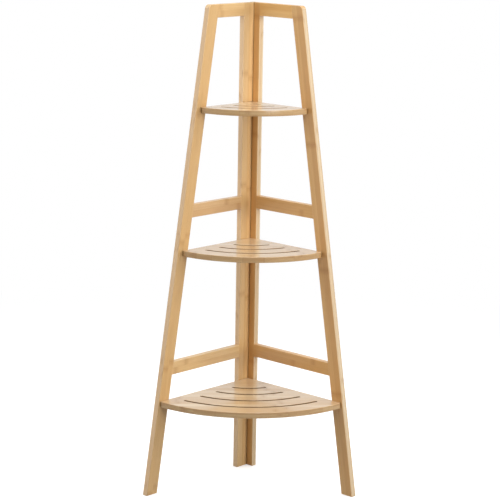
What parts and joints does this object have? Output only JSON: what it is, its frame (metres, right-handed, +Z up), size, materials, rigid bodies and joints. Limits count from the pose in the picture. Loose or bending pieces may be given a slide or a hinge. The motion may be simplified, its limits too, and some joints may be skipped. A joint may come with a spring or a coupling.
{
  "type": "plant stand",
  "caption": "Tall corner plant stand in bamboo: leaning side frames meet at a back post and carry quarter-round slotted shelves that widen towards the floor.",
  "frame": {"origin": "on the floor, in the middle of the bounding box's footprint", "axes": "+Z up; the open front faces -Y and the back corner is towards +Y; +X is to the right for a person looking at the front"},
  "size_m": [0.5194, 0.333, 1.18],
  "materials": {
    "bamboo_frame": "laminated bamboo, satin clear lacquer",
    "bamboo_shelf": "laminated bamboo, semi-gloss clear lacquer",
    "dowel_wood": "plain turned wood",
    "screw_steel": "bright zinc plate"
  },
  "bodies": {
    "root": {"left_post": "bamboo_frame", "left_leg": "bamboo_frame", "left_low_rail": "bamboo_frame", "left_mid_rail": "bamboo_frame", "left_top_rail": "bamboo_frame", "right_post": "bamboo_frame", "right_leg": "bamboo_frame", "right_low_rail": "bamboo_frame", "right_mid_rail": "bamboo_frame", "right_top_rail": "bamboo_frame", "bottom_shelf": "bamboo_shelf", "middle_shelf": "bamboo_shelf", "top_shelf": "bamboo_shelf", "left_low_rail_post_dowel_lower": "dowel_wood", "left_low_rail_post_dowel_upper": "dowel_wood", "left_low_rail_leg_dowel_lower": "dowel_wood", "left_low_rail_leg_dowel_upper": "dowel_wood", "left_mid_rail_post_dowel_lower": "dowel_wood", "left_mid_rail_post_dowel_upper": "dowel_wood", "left_mid_rail_leg_dowel_lower": "dowel_wood", "left_mid_rail_leg_dowel_upper": "dowel_wood", "left_top_rail_post_dowel_lower": "dowel_wood", "left_top_rail_post_dowel_upper": "dowel_wood", "left_top_rail_leg_dowel_lower": "dowel_wood", "left_top_rail_leg_dowel_upper": "dowel_wood", "right_low_rail_post_dowel_lower": "dowel_wood", "right_low_rail_post_dowel_upper": "dowel_wood", "right_low_rail_leg_dowel_lower": "dowel_wood", "right_low_rail_leg_dowel_upper": "dowel_wood", "right_mid_rail_post_dowel_lower": "dowel_wood", "right_mid_rail_post_dowel_upper": "dowel_wood", "right_mid_rail_leg_dowel_lower": "dowel_wood", "right_mid_rail_leg_dowel_upper": "dowel_wood", "right_top_rail_post_dowel_lower": "dowel_wood", "right_top_rail_post_dowel_upper": "dowel_wood", "right_top_rail_leg_dowel_lower": "dowel_wood", "right_top_rail_leg_dowel_upper": "dowel_wood", "left_leg_screw_bottom_shelf": "screw_steel", "right_leg_screw_bottom_shelf": "screw_steel", "left_post_screw_bottom_shelf": "screw_steel", "left_leg_screw_middle_shelf": "screw_steel", "right_leg_screw_middle_shelf": "screw_steel", "left_post_screw_middle_shelf": "screw_steel", "left_leg_screw_top_shelf": "screw_steel", "right_leg_screw_top_shelf": "screw_steel", "left_post_screw_top_shelf": "screw_steel", "post_joint_screw_1": "screw_steel", "post_joint_screw_2": "screw_steel", "post_joint_screw_3": "screw_steel", "post_joint_screw_4": "screw_steel"}
  },
  "joints": []
}
